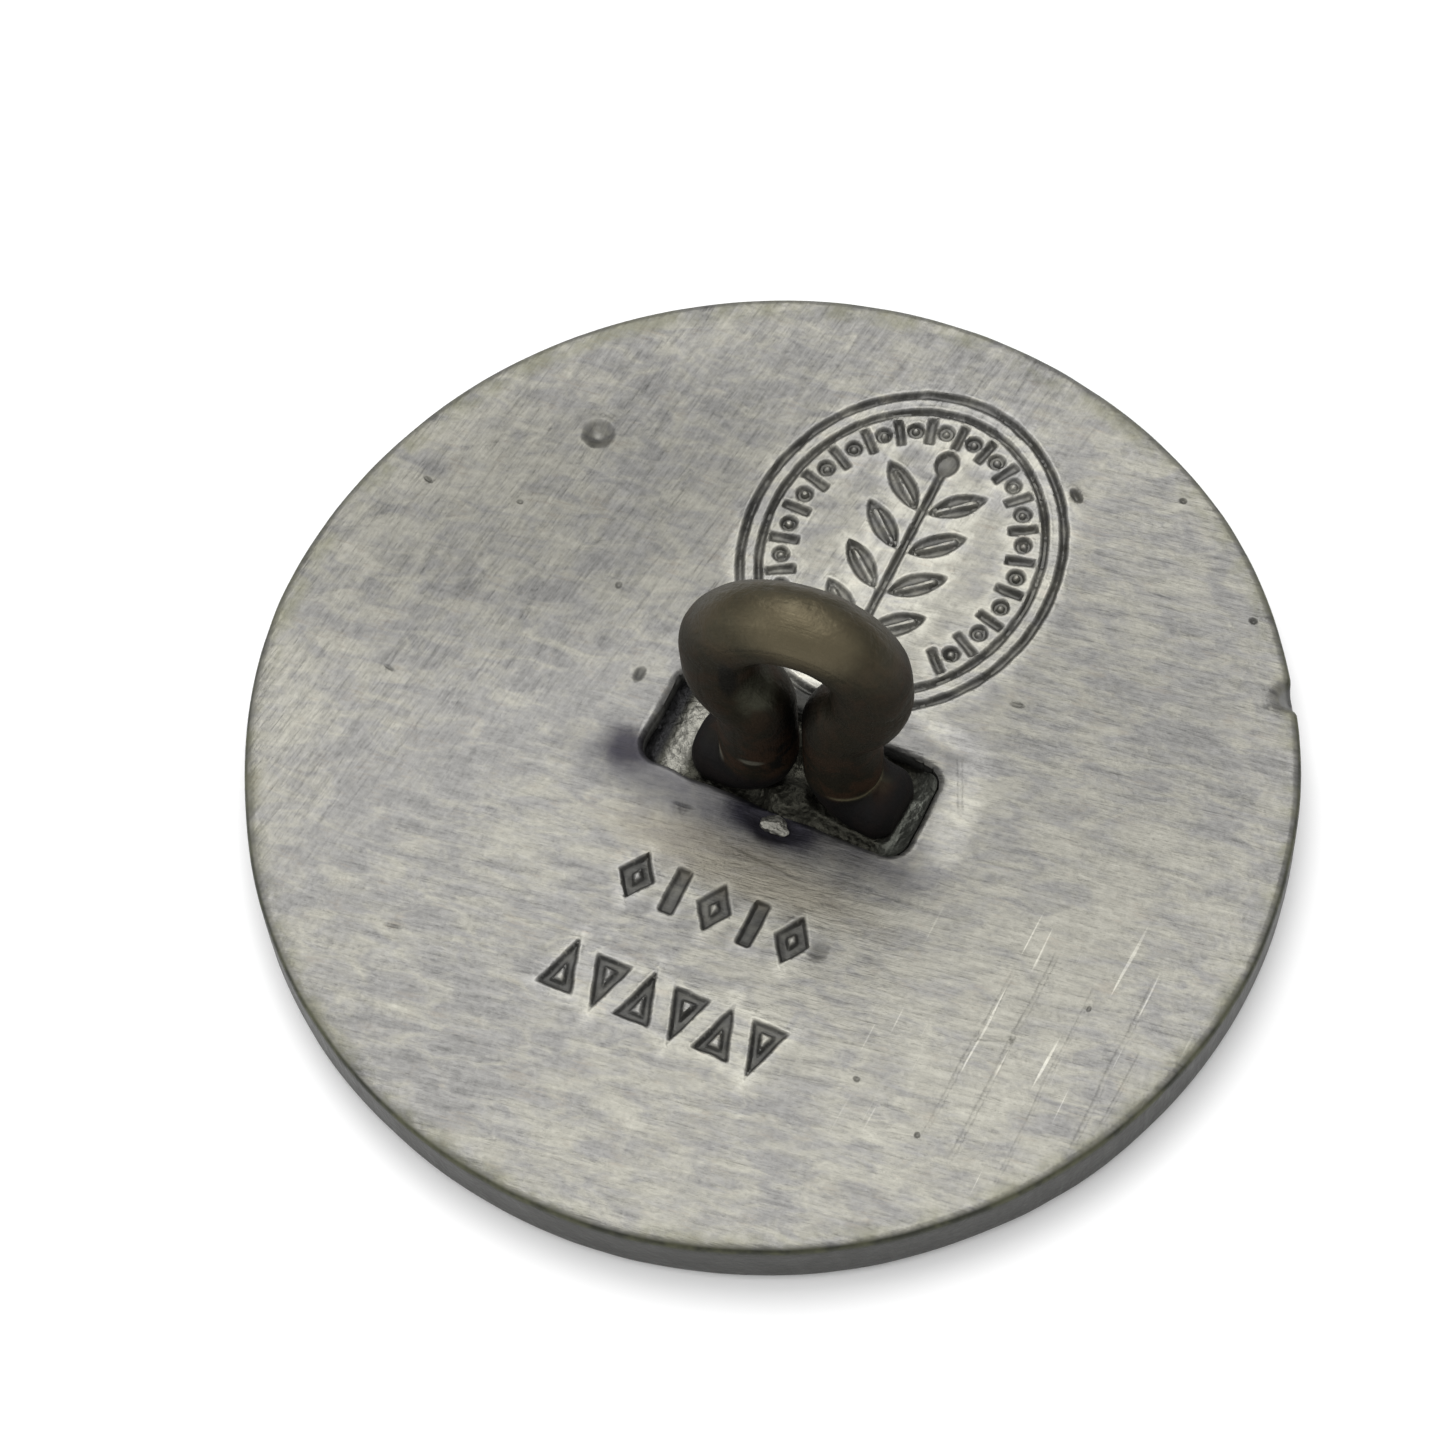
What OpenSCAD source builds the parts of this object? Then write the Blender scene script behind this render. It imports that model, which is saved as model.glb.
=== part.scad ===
// Sew-on shank button: a cast pewter disc whose back has a pocket, and a loop of
// round brass wire whose two feet are soldered into that pocket.
// The button lies face down: the front rim stands on z = 0 and the loop points up.
// The origin is under the middle of the disc and X runs along the pocket.

/* [Disc] */
// Diameter of the disc
disc_d = 28; // [20:0.5:40]
// Thickness of the disc at its rim
disc_t = 2; // [1.5:0.1:4]
// Rounding of the rim at the back
back_round = 0.25; // [0.1:0.05:0.5]
// Rounding of the rim at the front
front_round = 0.4; // [0.1:0.05:0.6]

/* [Front ornament] */
// Width of the plain raised rim, rounding included
rim_w = 1.5; // [1:0.1:3]
// Depth of the field inside the rim
field_depth = 0.3; // [0.15:0.05:0.45]
// Radius of one bead of the border
bead_r = 0.5; // [0.3:0.05:0.8]
// Room on both sides of the bead border
bead_gap = 0.35; // [0.2:0.05:1]
// Number of beads in the border
bead_count = 48; // [16:1:60]
// Number of petals round the boss
petal_count = 8; // [5:1:12]
// Width of one petal
petal_w = 3.2; // [1:0.1:4]
// Radius of the boss in the middle
boss_r = 2.2; // [1:0.1:4]
// Height of the ornament above the field
ornament_h = 0.22; // [0.1:0.02:0.4]

/* [Pocket] */
// Depth of the pocket below the back face
pocket_depth = 1.2; // [0.8:0.05:1.5]
// Radius of the pocket's upright corners
pocket_corner = 0.6; // [0.2:0.05:1]
// Shift of the loop from the middle of the disc, along X
shank_x = 1; // [-3:0.1:3]
// Shift of the loop from the middle of the disc, along Y
shank_y = -0.1; // [-1:0.05:1]
// Gap from the end of the left foot to the pocket's wall
foot_gap_left = 1.35; // [0.2:0.05:3]
// Gap from the end of the right foot to the pocket's wall
foot_gap_right = 0.55; // [0.2:0.05:3]
// Gap from the wire to the pocket's near wall
side_gap_near = 0.1; // [0.05:0.01:1]
// Gap from the wire to the pocket's far wall
side_gap_far = 0.35; // [0.05:0.01:1]

/* [Wire loop] */
// Diameter of the wire
wire_d = 2.1; // [1.2:0.05:2.6]
// Clear width of the eye
eye_w = 1.9; // [1:0.05:5]
// Length of the straight sides of the eye
eye_side = 0.7; // [0.5:0.05:6]
// Inner radius of the bend from the eye into the neck
flare_in = 0.05; // [0.05:0.05:2]
// Gap between the two legs in the neck
neck_gap = 0.2; // [0.05:0.05:0.6]
// Length of the straight legs in the neck
neck_l = 2.3; // [0.3:0.05:4]
// Inner radius of the bend from a leg into its foot
foot_in = 0.05; // [0.05:0.05:1]
// Length of the straight part of a foot
foot_l = 0.65; // [0.3:0.05:2]
// Turn of the eye against the pocket, seen from above
eye_turn = 9; // [0:1:15]
// Turn of each foot against the pocket, seen from above
foot_turn = -4; // [-8:1:8]

/* [Solder] */
// Solder under the feet
solder_under = 0.1; // [0.05:0.05:0.3]
// Depth of the solder's surface below the back face
solder_drop = 0.75; // [0.3:0.05:0.9]
// Gap between the solder and the pocket's walls
solder_gap = 0.01; // [0.005:0.005:0.05]
// Radius of the bead that ran over the pocket's edge
spill_r = 0.36; // [0.2:0.02:0.8]

/* [Back marks] */
// Depth of every mark on the back
mark_depth = 0.15; // [0.05:0.05:0.3]
// Half width of the oval's outer line
oval_w = 4.35; // [3:0.05:5]
// Width of the oval's lines
line_w = 0.2; // [0.1:0.05:0.4]
// Plain band between the oval's two lines
line_gap = 0.3; // [0.1:0.05:1]
// Gap from the pocket to the oval
oval_clear = 0.55; // [0.2:0.05:3]
// Gap from the oval to the edge of the disc
oval_edge_clear = 1.95; // [1:0.05:4]
// Number of ticks in the upper band of the oval
tick_count = 19; // [5:2:31]
// Width of one punched mark
punch_w = 0.8; // [0.4:0.05:1]
// Height of one punched mark
punch_h = 1.2; // [0.6:0.05:1.5]
// Distance from one punched mark to the next
punch_step = 1.12; // [0.9:0.02:1.5]
// Number of marks in the row nearer the pocket
row_a_count = 5; // [1:1:6]
// Number of marks in the row nearer the rim
row_b_count = 6; // [1:1:7]
// Gap from the pocket to the first row
row_a_clear = 2.6; // [1:0.1:5]
// Gap from the first row to the second
row_gap = 1.9; // [0.5:0.1:3]

/* [Hidden] */
$fn = 96;
eps = 0.01;

// Value in whole thousandths
function rounded(v) = round(v * 1000) / 1000;

disc_r = disc_d / 2;
field_r = disc_r - rim_w;
bead_ring_r = field_r - bead_gap - bead_r;
petal_tip_r = bead_ring_r - bead_r - bead_gap;
petal_root_r = boss_r + bead_gap;
petal_l = petal_tip_r - petal_root_r;
bead_sink = bead_r - ornament_h;

wire_r = wire_d / 2;
eye_r = eye_w / 2 + wire_r;
leg_x = neck_gap / 2 + wire_r;
flare_r = flare_in + wire_r;
foot_bend = foot_in + wire_r;
// Angle of the eye's lower arc, to where it meets the flare into the neck
flare_angle = rounded(acos((leg_x + flare_r) / (eye_r + flare_r)));
flare_x = (eye_r + flare_r) * cos(flare_angle);
flare_drop = (eye_r + flare_r) * sin(flare_angle);
leg_axis = flare_x - flare_r;
leg_swing = leg_x * sin(eye_turn);
foot_reach = leg_x + foot_bend + foot_l;

pocket_floor = disc_t - pocket_depth;
foot_z = pocket_floor + solder_under + wire_r;
neck_z = foot_z + foot_bend;
flare_z = neck_z + neck_l;
eye_low_z = flare_z + flare_drop;
eye_high_z = eye_low_z + eye_side;

pocket_x0 = shank_x - foot_reach - foot_gap_left;
pocket_x1 = shank_x + foot_reach + foot_gap_right;
pocket_y0 = shank_y - wire_r - leg_swing - side_gap_near;
pocket_y1 = shank_y + wire_r + leg_swing + side_gap_far;
pocket_mid_x = (pocket_x0 + pocket_x1) / 2;
solder_z = disc_t - solder_drop;
spill_x = shank_x;
spill_y = pocket_y0 - spill_r;
scoop_r = 1.5 * spill_r;
scoop_depth = 0.35 * spill_r;

mark_z = disc_t - mark_depth;
oval_low = pocket_y1 + oval_clear;
oval_high = disc_r - oval_edge_clear;
oval_h = (oval_high - oval_low) / 2;
oval_y = (oval_high + oval_low) / 2;
inner_line = line_w + line_gap;
tick_gap = 0.12;
tick_inset = inner_line + line_w + tick_gap;
tick_l = 0.75;
tick_t = 0.28;
tick_span = 270;
stem_h = 2 * (oval_h - tick_inset - tick_l - tick_gap);
leaf_w = 0.6;
leaf_l = 1.6;
tip_l = leaf_l / 2;
leaf_angle = 50;
row_a_y = pocket_y0 - row_a_clear - punch_h / 2;
row_b_y = row_a_y - row_gap - punch_h;

// Blank of the disc: a rounded rim, turned about the middle
module disc_blank() {
    rotate_extrude() union() {
        square([disc_r - front_round, disc_t]);
        translate([0, front_round]) square([disc_r, disc_t - front_round - back_round]);
        square([disc_r - back_round, disc_t]);
        translate([disc_r - front_round, front_round]) circle(front_round);
        translate([disc_r - back_round, disc_t - back_round]) circle(back_round);
    }
}

// Outline with round corners between two opposite corners
module round_box(x0, y0, x1, y1, r, h) {
    linear_extrude(h) union() {
        translate([x0 + r, y0]) square([x1 - x0 - 2 * r, y1 - y0]);
        translate([x0, y0 + r]) square([x1 - x0, y1 - y0 - 2 * r]);
        for (x = [x0 + r, x1 - r], y = [y0 + r, y1 - r]) translate([x, y]) circle(r);
    }
}

// Lens where two equal circles cross, lying along X from the origin
module lens(l, w) {
    arc_r = (l * l + w * w) / (4 * w);
    intersection() {
        translate([l / 2, w / 2 - arc_r]) circle(arc_r);
        translate([l / 2, arc_r - w / 2]) circle(arc_r);
    }
}

// Ellipse drawn as a polygon, made smaller by inset on every side
module oval(inset) {
    polygon([for (a = [0:5:355]) [(oval_w - inset) * cos(a), (oval_h - inset) * sin(a)]]);
}

module oval_line(inset) {
    difference() {
        oval(inset);
        oval(inset + line_w);
    }
}

// Front: a sunk field, a bead border, petals and a boss that stand up in it
module front_field() {
    translate([0, 0, -eps]) cylinder(r = field_r, h = field_depth + eps);
}

module front_ornament() {
    translate([0, 0, field_depth]) {
        for (i = [0:bead_count - 1]) rotate(i * 360 / bead_count)
            translate([bead_ring_r, 0, bead_sink]) sphere(bead_r);
        for (i = [0:petal_count - 1]) rotate(i * 360 / petal_count)
            translate([petal_root_r, 0, -ornament_h])
                linear_extrude(ornament_h + eps) lens(petal_l, petal_w);
        translate([0, 0, -ornament_h]) cylinder(r = boss_r, h = ornament_h + eps);
    }
}

// Mark inside the oval: ticks round the upper band and a sprig in the middle
module oval_mark() {
    oval_line(0);
    oval_line(inner_line);
    for (i = [0:tick_count - 1]) {
        a = 90 - tick_span / 2 + i * tick_span / (tick_count - 1);
        translate([(oval_w - tick_inset) * cos(a), (oval_h - tick_inset) * sin(a)])
            rotate(a) translate([-tick_l, -tick_t / 2]) square([tick_l, tick_t]);
    }
    translate([-line_w / 2, -stem_h / 2]) square([line_w, stem_h - tip_l / 2]);
    for (step = [-2:1], side = [-1, 1])
        translate([side * line_w, step * stem_h / 5]) rotate(90 - side * leaf_angle)
            lens(leaf_l, leaf_w);
    translate([0, stem_h / 2 - tip_l]) rotate(90) lens(tip_l, leaf_w);
}

module diamond() {
    polygon([[-punch_w / 2, 0], [0, -punch_h / 2], [punch_w / 2, 0], [0, punch_h / 2]]);
}

module wedge(up) {
    base = -up * punch_h / 2;
    polygon([[-punch_w / 2, base], [punch_w / 2, base], [0, -base]]);
}

// Two rows of plain punched marks between the pocket and the rim
module punched_rows() {
    for (i = [0:row_a_count - 1])
        translate([pocket_mid_x + (i - (row_a_count - 1) / 2) * punch_step, row_a_y])
            if (i % 2 == 0) diamond(); else square([punch_w / 3, punch_h], center = true);
    for (i = [0:row_b_count - 1])
        translate([pocket_mid_x + (i - (row_b_count - 1) / 2) * punch_step, row_b_y])
            wedge(i % 2 == 0 ? 1 : -1);
}

module button_disc() color([0.62, 0.61, 0.59]) {
    difference() {
        union() {
            difference() {
                disc_blank();
                front_field();
            }
            intersection() {
                front_ornament();
                cylinder(r = field_r, h = disc_t / 2);
            }
        }
        translate([0, 0, pocket_floor])
            round_box(pocket_x0, pocket_y0, pocket_x1, pocket_y1, pocket_corner, pocket_depth + eps);
        translate([0, 0, mark_z]) linear_extrude(mark_depth + eps) {
            translate([pocket_mid_x, oval_y]) oval_mark();
            punched_rows();
        }
        translate([spill_x, spill_y, disc_t - scoop_depth]) cylinder(r = scoop_r, h = scoop_depth + eps);
    }
}

// Moves a piece in the XZ plane in two steps, a round one and a very small one, so
// that neighbouring lengths of wire meet exactly
module at(x, z) {
    translate([rounded(x), 0, rounded(z)]) translate([x - rounded(x), 0, z - rounded(z)]) children();
}

// Bend of the wire in the XZ plane about the origin
module wire_bend(r, from, sweep) {
    rotate([90, 0, 0]) rotate_extrude(angle = sweep, start = from) translate([r, 0]) circle(wire_r);
}

// Foot at the lower end of a leg, bent outwards along X
module foot() {
    translate([foot_bend, 0, 0]) wire_bend(foot_bend, 180, 90);
    translate([foot_bend, 0, -foot_bend]) rotate([0, 90, 0]) cylinder(r = wire_r, h = foot_l);
}

// Right-hand half of the loop, from the top of the eye down to the foot
module loop_half() {
    at(0, eye_high_z) wire_bend(eye_r, 0, 90);
    at(eye_r, eye_low_z) cylinder(r = wire_r, h = eye_side);
    at(0, eye_low_z) wire_bend(eye_r, -flare_angle, flare_angle);
    at(flare_x, flare_z) wire_bend(flare_r, 180 - flare_angle, flare_angle);
    at(leg_axis, neck_z) {
        cylinder(r = wire_r, h = neck_l);
        rotate(foot_turn - eye_turn) foot();
    }
}

module wire_shape() {
    translate([shank_x, shank_y, 0]) rotate(eye_turn) {
        loop_half();
        rotate(180) loop_half();
    }
}

module shank_wire() color([0.36, 0.3, 0.2]) {
    wire_shape();
}

// Solder poured round the feet, up to below the back face
module solder_bed() color([0.7, 0.69, 0.64]) {
    difference() {
        translate([0, 0, pocket_floor])
            round_box(pocket_x0 + solder_gap, pocket_y0 + solder_gap, pocket_x1 - solder_gap,
                pocket_y1 - solder_gap, pocket_corner, solder_z - pocket_floor);
        wire_shape();
    }
}

// Drop of solder that ran over the pocket's near edge into a scoop in the face
module solder_spill() color([0.78, 0.77, 0.73]) {
    translate([spill_x, spill_y, disc_t - scoop_depth]) intersection() {
        sphere(spill_r);
        cylinder(r = 2 * spill_r, h = 2 * spill_r);
    }
}

button_disc();
shank_wire();
solder_bed();
solder_spill();
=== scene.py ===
import math

import bpy
import numpy as np
from mathutils import Matrix, Vector, geometry


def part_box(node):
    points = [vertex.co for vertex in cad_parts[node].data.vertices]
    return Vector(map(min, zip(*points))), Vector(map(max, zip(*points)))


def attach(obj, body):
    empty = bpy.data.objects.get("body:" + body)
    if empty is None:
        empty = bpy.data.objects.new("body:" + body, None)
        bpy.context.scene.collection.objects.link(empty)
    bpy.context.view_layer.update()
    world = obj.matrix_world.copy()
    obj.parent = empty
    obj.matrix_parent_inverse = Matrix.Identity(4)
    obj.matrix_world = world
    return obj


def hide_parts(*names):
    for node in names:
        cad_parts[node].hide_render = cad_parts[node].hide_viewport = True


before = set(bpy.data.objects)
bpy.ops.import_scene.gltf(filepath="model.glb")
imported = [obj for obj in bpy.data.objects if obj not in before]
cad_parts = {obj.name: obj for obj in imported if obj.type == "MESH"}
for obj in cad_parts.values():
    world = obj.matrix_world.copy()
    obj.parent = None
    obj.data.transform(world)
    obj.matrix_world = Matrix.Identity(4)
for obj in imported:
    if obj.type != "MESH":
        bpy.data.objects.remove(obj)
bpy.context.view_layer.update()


# ---------------------------------------------------------------- the disc
# The button's body is one pewter casting. Its back was ground flat on a belt,
# stamped with an oval mark and two rows of punches, and has a pocket for the
# loop. Sizes are in millimetres, and the mesh is scaled to metres at the end.
MM = 0.001
disc_low, disc_high = (Vector(corner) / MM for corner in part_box("button_disc"))
DISC_R = (disc_high.x - disc_low.x) / 2
BACK_Z = disc_high.z
BACK_ROUND = 0.25
FRONT_ROUND = 0.4
RIM_W = 1.5
FIELD_Z = 0.3
FIELD_R = DISC_R - RIM_W

solder_low, solder_high = (Vector(corner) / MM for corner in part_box("solder_bed"))
POCKET_X = (solder_low.x + solder_high.x) / 2
POCKET_Y = (solder_low.y + solder_high.y) / 2
POCKET_L = solder_high.x - solder_low.x + 0.02
POCKET_W = solder_high.y - solder_low.y + 0.02
POCKET_CORNER = 0.6
POCKET_DEPTH = BACK_Z - solder_low.z

spill_low, spill_high = (Vector(corner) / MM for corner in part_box("solder_spill"))
SPILL_X = (spill_low.x + spill_high.x) / 2
SPILL_Y = (spill_low.y + spill_high.y) / 2

OVAL_A = 4.35
OVAL_B = 5.01
OVAL_X = POCKET_X
OVAL_Y = 7.04
MARK_DEPTH = 0.15
ROW_A_Y = -4.63
ROW_B_Y = -7.73
PUNCH_W = 0.8
PUNCH_H = 1.2
PUNCH_STEP = 1.12
EDGE_COLUMNS = 720


def smooth(start, end, value):
    """0 before start, 1 after end, with a soft step between."""
    t = np.clip((value - start) / (end - start), 0.0, 1.0)
    return t * t * (3.0 - 2.0 * t)


def cloudy(x, y, cell, seed):
    """Smooth uneven values from -1 to 1, with bumps about one cell wide."""
    lattice = np.random.default_rng(seed).uniform(-1.0, 1.0, (256, 256))
    u, v = np.asarray(x) / cell + 97.3, np.asarray(y) / cell + 88.1
    i, j = np.floor(u).astype(int), np.floor(v).astype(int)
    fu, fv = smooth(0.0, 1.0, u - i), smooth(0.0, 1.0, v - j)
    i, j, i1, j1 = i % 256, j % 256, (i + 1) % 256, (j + 1) % 256
    near = lattice[i, j] * (1 - fu) + lattice[i1, j] * fu
    far = lattice[i, j1] * (1 - fu) + lattice[i1, j1] * fu
    return near * (1 - fv) + far * fv


def turned(x, y, centre_x, centre_y, degrees):
    """Coordinates seen from a mark that stands at a centre and is turned."""
    c, s = math.cos(math.radians(degrees)), math.sin(math.radians(degrees))
    dx, dy = x - centre_x, y - centre_y
    return dx * c + dy * s, dy * c - dx * s


def bar_gap(x, y, length, width):
    """Distance to a bar along X, negative inside it."""
    dx, dy = np.abs(x) - length / 2, np.abs(y) - width / 2
    outside = np.hypot(np.maximum(dx, 0), np.maximum(dy, 0))
    return outside + np.minimum(np.maximum(dx, dy), 0)


def leaf_gap(x, y, length, width):
    """Distance to a leaf that lies along X from the origin, negative inside."""
    arc = (length * length + width * width) / (4 * width)
    upper = np.hypot(x - length / 2, y - width / 2 + arc) - arc
    lower = np.hypot(x - length / 2, y - arc + width / 2) - arc
    return np.maximum(upper, lower)


def oval_gap(x, y):
    """Distance to the oval mark's outline, negative inside it."""
    k = np.hypot(x / OVAL_A, y / OVAL_B)
    g = np.hypot(x / OVAL_A**2, y / OVAL_B**2)
    return k * (k - 1) / np.maximum(g, 1e-6)


def wedge_gap(x, y, up):
    """Distance to a wedge punch, point up or down, negative inside it."""
    run, rise = PUNCH_W / 2, PUNCH_H
    slope = math.hypot(run, rise)
    foot = -up * y - PUNCH_H / 2
    flank = ((np.abs(x) - run) * rise + (up * y + PUNCH_H / 2) * run) / slope
    return np.maximum(foot, flank)


def diamond_gap(x, y):
    """Distance to a diamond punch, negative inside it."""
    slope = math.hypot(PUNCH_W, PUNCH_H)
    reach = np.abs(x) * PUNCH_H + np.abs(y) * PUNCH_W - PUNCH_W * PUNCH_H / 2
    return reach / slope


def oval_mark_gap(x, y):
    """The stamp: two oval lines, ticks and rings between, a sprig inside."""
    edge = oval_gap(x, y)
    gap = np.minimum(np.abs(edge + 0.1) - 0.09, np.abs(edge + 0.6) - 0.08)
    for i in range(37):
        angle = -45.0 + i * 7.5
        c, s = math.cos(math.radians(angle)), math.sin(math.radians(angle))
        tx, ty = turned(x, y, (OVAL_A - 0.82) * c, (OVAL_B - 0.82) * s, angle)
        if i % 2 == 0:
            gap = np.minimum(gap, bar_gap(tx + 0.375, ty, 0.75, 0.2))
        else:
            ring = np.abs(np.hypot(tx + 0.36, ty) - 0.15) - 0.06
            gap = np.minimum(gap, ring)
    gap = np.minimum(gap, bar_gap(x, y + 0.2, 0.16, 6.24))
    for step in range(-2, 2):
        for side in (-1, 1):
            lx, ly = turned(x, y, side * 0.2, step * 1.328, 90 - side * 50)
            leaf = leaf_gap(lx, ly, 1.6, 0.6)
            rib = bar_gap(lx - 0.75, ly, 1.1, 0.05)
            gap = np.minimum(gap, np.maximum(leaf, 0.04 - rib))
    tip_x, tip_y = turned(x, y, 0.0, 2.52, 90)
    return np.minimum(gap, leaf_gap(tip_x, tip_y, 0.8, 0.6))


def punched_gap(x, y):
    """Two rows of plain punches; the diamonds and the wedges each leave a small island in their middle."""
    gap = np.full(np.shape(x), 9.0)
    for i in range(5):
        px, py = x - POCKET_X - (i - 2) * PUNCH_STEP, y - ROW_A_Y
        if i % 2 == 0:
            shape = diamond_gap(px, py)
            shape = np.maximum(shape - 0.05, -0.22 - shape)
        else:
            shape = bar_gap(px, py, PUNCH_W / 3, PUNCH_H) - 0.05
        gap = np.minimum(gap, shape)
    for i in range(6):
        px, py = x - POCKET_X - (i - 2.5) * PUNCH_STEP, y - ROW_B_Y
        shape = wedge_gap(px, py, 1 if i % 2 == 0 else -1)
        gap = np.minimum(gap, np.maximum(shape - 0.05, -0.17 - shape))
    return gap


def mark_gap(x, y):
    wobble = 0.018 * cloudy(x, y, 0.35, 11)
    oval = oval_mark_gap(x - OVAL_X, y - OVAL_Y)
    return np.minimum(oval, punched_gap(x, y)) + wobble


def pocket_gap(x, y):
    """Distance to the pocket's outline, which the mould left uneven."""
    inset = POCKET_CORNER
    dx = np.abs(x - POCKET_X) - POCKET_L / 2 + inset
    dy = np.abs(y - POCKET_Y) - POCKET_W / 2 + inset
    outside = np.hypot(np.maximum(dx, 0), np.maximum(dy, 0))
    gap = outside + np.minimum(np.maximum(dx, dy), 0) - inset
    return gap + 0.045 * cloudy(x, y, 0.7, 5)


def spill_gap(x, y):
    """Distance to the chipped scoop at the pocket's near edge."""
    away = np.hypot((x - SPILL_X) / 1.5, y - SPILL_Y)
    return away - 0.5 + 0.06 * cloudy(x, y, 0.3, 8)


# x, y, half length, half width, turn in degrees, depth
DENTS = [
    (-8.5, 6.9, 0.46, 0.44, 0, 0.2),
    (-4.2, 0.7, 0.16, 0.27, 0, 0.08),
    (3.6, -4.6, 0.3, 0.34, 10, 0.05),
    (4.2, 10.5, 0.26, 0.14, -35, 0.2),
    (6.8, 11.4, 0.11, 0.09, 0, 0.08),
    (10.0, 8.9, 0.13, 0.1, 0, 0.08),
    (-12.0, 3.65, 0.15, 0.07, -15, 0.05),
    (-9.5, 4.1, 0.1, 0.08, 0, 0.04),
    (5.35, 4.05, 0.22, 0.09, 10, 0.05),
    (-1.4, -2.3, 0.35, 0.06, 5, 0.06),
    (6.0, -7.45, 0.1, 0.08, 0, 0.05),
    (8.05, -8.2, 0.09, 0.09, 0, 0.05),
    (-5.9, 2.9, 0.1, 0.12, 0, 0.04),
    (10.6, -3.2, 0.07, 0.1, 0, 0.04),
    (-6.8, -8.6, 0.3, 0.06, 12, 0.04),
    (-10.4, -1.9, 0.2, 0.06, -8, 0.04),
]
# scratches: x and y of both ends, width, depth
SCRATCHES = [
    (9.25, -1.6, 9.05, -8.9, 0.07, 0.028),
    (8.45, -2.6, 8.15, -8.4, 0.06, 0.022),
    (11.85, -1.2, 11.7, -7.9, 0.07, 0.028),
    (7.9, -5.3, 9.3, -4.75, 0.08, 0.03),
    (10.5, -2.2, 10.35, -9.3, 0.05, 0.018),
    (4.55, 2.1, 5.3, 0.45, 0.07, 0.03),
    (-0.2, -2.75, 2.4, -2.95, 0.09, 0.03),
    (-3.4, -3.15, -1.4, -2.9, 0.07, 0.025),
    (12.3, -3.6, 12.15, -6.2, 0.05, 0.02),
]


def scratch_gap(x, y, scratch):
    """Distance to a scratch's line, and how far along it a point lies."""
    x0, y0, x1, y1 = scratch[:4]
    length = math.hypot(x1 - x0, y1 - y0)
    ux, uy = (x1 - x0) / length, (y1 - y0) / length
    along = (x - x0) * ux + (y - y0) * uy
    across = (y - y0) * ux - (x - x0) * uy
    return np.abs(across + 0.03 * cloudy(along, along * 0, 1.2, 3)), along / length


def back_height(x, y):
    """Height of the back face; how far in a hollow and in the pocket each point lies; and a band at
    each mark's brink and the pocket's near lip, positive for painted highlight, negative for painted shade."""
    marks = mark_gap(x, y)
    sunk = MARK_DEPTH * smooth(0.045, -0.07, marks)
    sunk = sunk * (1.0 + 0.35 * cloudy(x, y, 0.5, 21))
    burr = 0.026 * np.exp(-(((marks - 0.085) / 0.045) ** 2))
    burr = burr * (0.6 + 0.6 * cloudy(x, y, 0.4, 31))
    scoop = spill_gap(x, y)
    chip = 0.13 * smooth(0.08, -0.3, scoop)
    pocket = pocket_gap(x, y)
    lip = 0.1 * smooth(0.2, 0.0, pocket) ** 2
    wall = (POCKET_DEPTH - 0.1) * smooth(0.0, -0.07, pocket)
    dented, dirty = np.zeros(np.shape(x)), np.zeros(np.shape(x))
    for dx, dy, half_l, half_w, turn, depth in DENTS:
        lx, ly = turned(x, y, dx, dy, turn)
        away = np.hypot(lx / half_l, ly / half_w)
        dented = dented + depth * np.maximum(1 - away**2, 0) ** 1.5
        if half_w < 0.4:
            dirty = dirty + depth * np.maximum(1 - away**2, 0)
        dented = dented - 0.12 * depth * np.exp(-(((away - 1.15) / 0.16) ** 2))
    for scratch in SCRATCHES:
        across, along = scratch_gap(x, y, scratch)
        inside = smooth(0.0, 0.12, along) * smooth(1.0, 0.88, along)
        dented = dented + scratch[5] * inside * smooth(scratch[4], 0.0, across)
    wave = 0.02 * cloudy(x, y, 5.0, 41) + 0.006 * cloudy(x, y, 1.6, 42)
    # painted light: positive just outside each mark's edge for a painted highlight on the burr, negative just
    # inside it for painted shade at the wall's top; the pocket's near lip gets a painted highlight
    brink = np.exp(-(((marks - 0.1) / 0.05) ** 2)) - np.exp(-(((marks + 0.01) / 0.035) ** 2))
    near_lip = np.exp(-(((pocket - 0.13) / 0.06) ** 2)) * smooth(0.3, -0.3, y)
    near_lip = near_lip * smooth(-0.3, 0.3, cloudy(x, y, 0.9, 15))
    brink = brink + 1.2 * near_lip
    height = BACK_Z + wave + burr + 0.03 * near_lip - sunk - dented
    height = height - np.maximum(chip, lip + wall)
    shade = np.clip(sunk / MARK_DEPTH, 0, 1) + np.clip(dirty / 0.08, 0, 1)
    deep = np.clip((lip + wall) / 0.5, 0, 1)
    return height, np.clip(shade, 0, 1), deep, brink


def contour(gap, low, high, levels, step, spacing):
    """Points along the lines where a mark's distance has each of the levels."""
    xs = np.arange(low[0], high[0], step)
    ys = np.arange(low[1], high[1], step)
    gx, gy = np.meshgrid(xs, ys)
    values = gap(gx, gy)
    found = []
    for level in levels:
        over = values - level
        for axis in (0, 1):
            a = over[:-1, :] if axis == 0 else over[:, :-1]
            b = over[1:, :] if axis == 0 else over[:, 1:]
            i, j = np.nonzero((a < 0) != (b < 0))
            share = a[i, j] / (a[i, j] - b[i, j])
            px = xs[j] + (share * step if axis == 1 else 0)
            py = ys[i] + (share * step if axis == 0 else 0)
            found.append((level, np.stack([px, py], 1)))
    kept = []
    for level in levels:
        line = np.vstack([p for at, p in found if at == level])
        cells = np.floor(line / spacing).astype(np.int64)
        _, first = np.unique(cells, axis=0, return_index=True)
        kept.append(line[np.sort(first)])
    return np.vstack(kept)


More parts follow.
